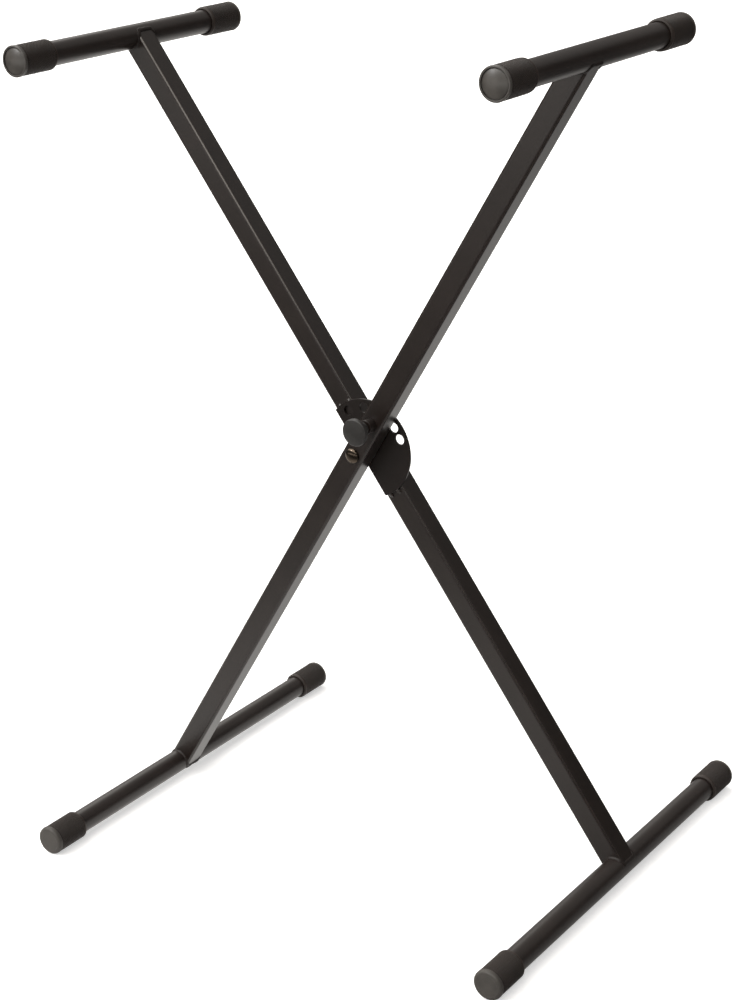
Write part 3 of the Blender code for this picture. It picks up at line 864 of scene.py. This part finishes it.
def makeBarrel():
    front, back = [corner.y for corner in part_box("lock_barrel")]
    stop = front + barrel["frontWall"]
    corners = [
        (barrel["bore"], back, 0.1 * mm),
        (barrel["radius"], back, 0.2 * mm),
        (barrel["radius"], front, barrel["edge"]),
        (rodBore, front, 0.25 * mm),
        (rodBore, stop, 0),
        (barrel["bore"], stop, 0),
    ]
    finished(turned(corners, barrel["sides"], True), "lockBarrel", "front_leg",
             coats["front"], lockPlace, ["lock_barrel"])


def makePin():
    front, back = [corner.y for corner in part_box("lock_pin")]
    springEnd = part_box("lock_spring")[1].y + seatGap
    corners = [
        (0, back, 0),
        (pin["nose"] - pin["noseChamfer"], back, 0.3 * mm),
        (pin["nose"], back - pin["noseChamfer"], 0.4 * mm),
        (pin["nose"], springEnd, 0.2 * mm),
        (pin["rod"], springEnd, 0),
        (pin["rod"], front, 0.4 * mm),
        (0, front, 0),
    ]
    finished(turned(corners, pin["sides"]), "lockPin", "lock_pin_body", zincSteel,
             lockPlace, ["lock_pin"])


spring = {
    "wire": 0.6 * mm,                             # radius of the wire
    "coil": 4.3 * mm,                             # radius of the coil, to the wire's middle
    "turns": 7,
    "steps": 24,                                  # in each turn
    "sides": 8,
}


def makeSpring():                                 # a coil spring round the pin's rod
    front, back = [corner.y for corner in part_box("lock_spring")]
    shape = bmesh.new()
    wire = spring["wire"]
    count = spring["turns"] * spring["steps"]
    rise = (back - front - 2 * wire) / count
    bmesh.ops.create_circle(shape, cap_ends=False, radius=wire, segments=spring["sides"],
                            matrix=Matrix.Translation((spring["coil"], front + wire, 0)))
    bmesh.ops.spin(shape, geom=shape.verts[:] + shape.edges[:], cent=(0, 0, 0), axis=(0, 1, 0),
                   angle=2 * pi * spring["turns"], steps=count, dvec=(0, rise, 0), use_merge=False)
    bmesh.ops.holes_fill(shape, edges=shape.edges, sides=0)
    piece = finished(shape, "lockSpring", "lock_pin_body", zincSteel, lockPlace,
                     ["lock_spring"], sharp=60)
    pull = max(abs(limit) for limit in joints["lock_pin_slide"]["range_m"])
    anchor = lockPlace @ Vector((0, back, 0))
    1 - pull / (back - front)
    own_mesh(piece)


def makeKnob():
    front, base = [corner.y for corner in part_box("pull_knob")]
    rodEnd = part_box("lock_pin")[0].y - seatGap
    flareStart = base - knob["neckLength"]
    rimStart = flareStart - knob["flare"]
    rimEnd = rimStart - knob["rim"]
    corners = [
        (0, rodEnd, 0),
        (rodBore, rodEnd, 0),
        (rodBore, base, 0.2 * mm),
        (knob["neck"], base, 0.5 * mm),
    ]
    for step in range(knob["steps"] + 1):
        angle = step * pi / 2 / knob["steps"]
        corners.append((knob["radius"] - (knob["radius"] - knob["neck"]) * cos(angle),
                        flareStart - knob["flare"] * sin(angle), 0))
    corners.append((knob["radius"], rimEnd, knob["rimRound"]))
    for step in range(1, knob["steps"]):          # low dome
        radius = knob["radius"] * (1 - step / knob["steps"])
        corners.append((radius, rimEnd + (front - rimEnd) * (1 - (radius / knob["radius"]) ** 2), 0))
    corners.append((0, front, 0))
    finished(turned(corners, knob["sides"]), "pullKnob", "lock_pin_body", knobPlastic,
             lockPlace, ["pull_knob"], sharp=50)


for legName in legs:
    makeLeg(legName)
    for end in ("top", "foot"):
        makeBar(legName, end)
        legEndWeld(legName, end)
        for side in ("near", "far"):
            makeCap(legName, end, side)
    print(f"{legName} leg dressed")
makePlate()
plateTacks()
makeBolt()
makeWasher("pivot_back_washer", "backWasher", 8.5 * mm, zincSteel, 0.25 * mm)
makeWasher("pivot_slip_washer", "slipWasher", 12.0 * mm, darkNylon, 0.2 * mm)
makeNut()
makeBarrel()
makePin()
makeSpring()
makeKnob()
for node in ("rear_pivot_sleeve", "front_pivot_sleeve"):
    kept = frame["nodes"][node]
    kept.data.materials.clear()
    kept.data.materials.append(zincSteel)
print("pivot and lock dressed")


# Camera, floor and light

view = {                                          # found from the outlines in the photograph
    "place": (1.22807, -1.68269, 1.13413),
    "yaw": 0.63268,
    "pitch": -0.34588,
    "roll": -0.06052,
    "lens": 74.856,
}


def makeCamera():
    yaw, pitch, roll = view["yaw"], view["pitch"], view["roll"]
    ahead = Vector((-sin(yaw) * cos(pitch), cos(yaw) * cos(pitch), sin(pitch)))
    level = Vector((cos(yaw), sin(yaw), 0))
    upright = level.cross(ahead)
    right = level * cos(roll) + upright * sin(roll)
    up = upright * cos(roll) - level * sin(roll)
    camera = bpy.data.objects.new("camera", bpy.data.cameras.new("camera"))
    camera.data.sensor_fit = "VERTICAL"
    camera.data.sensor_height = 36
    camera.data.lens = view["lens"]
    camera.data.clip_end = 100
    turn = Matrix((right, up, -ahead)).transposed().to_4x4()
    camera.matrix_world = Matrix.Translation(view["place"]) @ turn
    bpy.context.scene.collection.objects.link(camera)
    bpy.context.scene.camera = camera


studio = {
    "floor": 0.8,
    "floorSize": 30,
    "lift": (0.50, 0.60),                         # what makes the seen floor white, near and far
    "liftFade": (0.8, 3.0),
    "tint": (1.03, 1.0, 0.96),
    "paper": (1.50, 0.11),                        # brightness of the floor in gloss, and where it fades
    "paperCentre": (-1.14, 0.86, 0),
    "paperFade": (0.48, 2.18),
    "pool": 0.40,                                 # a brighter patch close in front of the stand
    "poolCentre": (-0.12, -0.3, 0),
    "poolFade": (0.15, 0.55),
    "far": 2.1,                                   # the lit end of the room in front, low down
    "farFade": (3.2, 6.2),
    "farSides": (-0.42, -0.92),
    "turn": 0.70,                                 # which way the room's left side faces
    "sides": (-0.18, 0.24),
    "leftWall": (0.15, 2.8),                      # low down and high up
    "rightWall": (0.05, 0.4),
    "rise": (0.30, 0.43),                         # from low down to high up
}


def makeFloor():
    floorShape = bmesh.new()
    bmesh.ops.create_grid(floorShape, x_segments=1, y_segments=1, size=studio["floorSize"])
    floor = asObject(floorShape, "floor")
    paper = bpy.data.materials.new("paleFloor")
    recipe = Recipe(paper)
    ray = recipe.node("ShaderNodeLightPath", {}, {})
    mirror = recipe.maths("MAXIMUM", ray.of("Is Glossy Ray"), ray.of("Is Transmission Ray"))
    where = recipe.coords()
    away = recipe.reach(where)
    fromPaper = recipe.reach(recipe.coords(0, studio["paperCentre"]))
    fromPool = recipe.reach(recipe.coords(0, studio["poolCentre"]))
    along = recipe.parts(where)[1]
    front = recipe.step(recipe.maths("DIVIDE", along, away), *studio["farSides"])
    front = front * recipe.step(away, *studio["farFade"])
    shine = recipe.step(fromPaper, *studio["paperFade"], *studio["paper"]) + front * studio["far"]
    shine = shine + recipe.step(fromPool, *studio["poolFade"], studio["pool"], 0.0)
    matt = recipe.node("ShaderNodeBsdfDiffuse", {}, {"Color": grey(studio["floor"])})
    lift = recipe.step(away, *studio["liftFade"], *studio["lift"]) * ray.of("Is Camera Ray")
    seen = recipe.node("ShaderNodeAddShader", {}, {0: matt, 1: recipe.glow(lift)})
    # the floor glows only in reflections: painted reflection light, brightest at the paper, the pool and
    # the far end
    mirrored = recipe.glow(shine, studio["tint"])
    both = recipe.node("ShaderNodeMixShader", {}, {0: mirror, 1: seen, 2: mirrored})
    recipe.node("ShaderNodeOutputMaterial", {}, {"Surface": both})
    floor.data.materials.append(paper)


def makeRoom():                                   # pale on the left, dark on the right, bright overhead
    world = bpy.data.worlds.new("studio")
    bpy.context.scene.world = world
    recipe = Recipe(world)
    ray = recipe.node("ShaderNodeLightPath", {}, {})
    across, along, upward = recipe.parts(recipe.node("ShaderNodeTexCoord", {}, {}).of("Generated"))
    rightness = recipe.step(across + along * studio["turn"], *studio["sides"])
    bands = []                                    # low down, then high up
    for walls in zip(studio["leftWall"], studio["rightWall"]):
        left, right = [shade(studio["tint"], wall) for wall in walls]
        bands.append(recipe.blend(rightness, left, right))
    room = recipe.blend(recipe.step(upward, *studio["rise"]), *bands)
    seen = recipe.blend(ray.of("Is Camera Ray"), room, grey(1))
    light = recipe.node("ShaderNodeBackground", {}, {"Color": seen, "Strength": 1.0})
    recipe.node("ShaderNodeOutputWorld", {}, {"Surface": light})


keyBox = {"place": (-1.2, -1.88, 1.78), "aim": (0, 0, 0.45), "size": (0.5, 0.4), "brightness": 16}


def makeKeyBox():
    lamp = bpy.data.objects.new("keyBox", bpy.data.lights.new("keyBox", "AREA"))
    lamp.data.shape = "RECTANGLE"
    width, height = keyBox["size"]
    lamp.data.size, lamp.data.size_y = width, height
    lamp.data.energy = keyBox["brightness"] * pi * width * height
    lamp.location = keyBox["place"]
    ahead = Vector(keyBox["aim"]) - Vector(keyBox["place"])
    lamp.rotation_euler = ahead.to_track_quat("-Z", "Y").to_euler()
    lamp.visible_camera = False
    bpy.context.scene.collection.objects.link(lamp)


makeCamera()
makeFloor()
makeRoom()
makeKeyBox()
bpy.context.scene.view_settings.view_transform = "Standard"
print("studio set")

bpy.context.view_layer.update()
